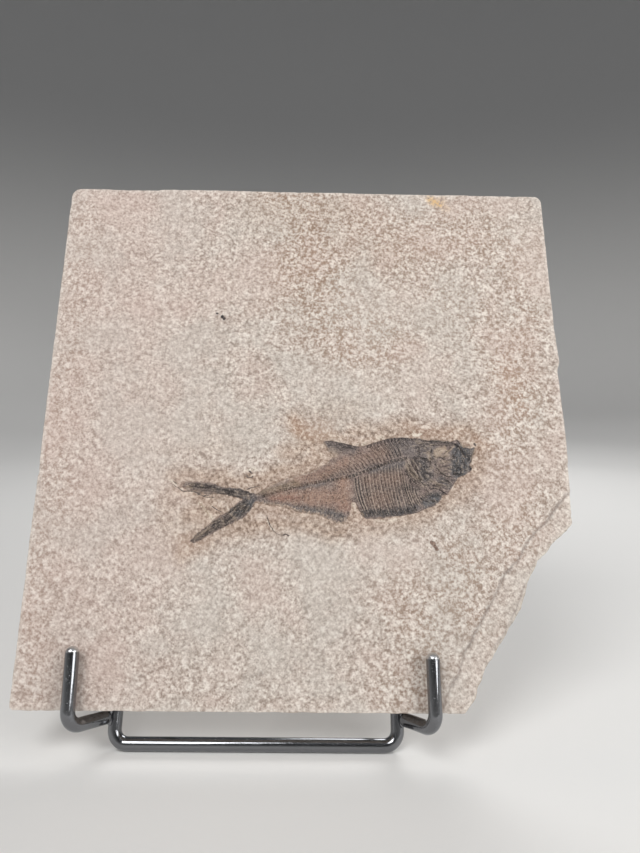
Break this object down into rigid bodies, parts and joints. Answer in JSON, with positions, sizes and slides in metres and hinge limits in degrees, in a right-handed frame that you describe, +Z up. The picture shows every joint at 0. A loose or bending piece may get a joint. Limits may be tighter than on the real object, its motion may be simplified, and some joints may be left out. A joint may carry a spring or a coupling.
{
  "type": "fossil fish slab on an easel",
  "caption": "Limestone slab with a small fossil fish in low relief, one lower corner broken away, leaning back on a bent-wire easel with two front hooks and a rear leg.",
  "frame": {"origin": "on the table the easel stands on, under the middle of the whole object's box", "axes": "+Z up, +Y from the face with the fish to the back, +X to the viewer's right, towards the fish's head"},
  "size_m": [0.1965, 0.1022, 0.2049],
  "materials": {
    "limestone": "matte",
    "fossil_bone": "satin",
    "bright_wire": "polished"
  },
  "bodies": {
    "root": {"stone_slab": "limestone", "fossil_fish": "fossil_bone", "easel_frame": "bright_wire", "easel_hook_left": "bright_wire", "easel_hook_right": "bright_wire", "easel_rear_leg": "bright_wire"}
  },
  "joints": []
}
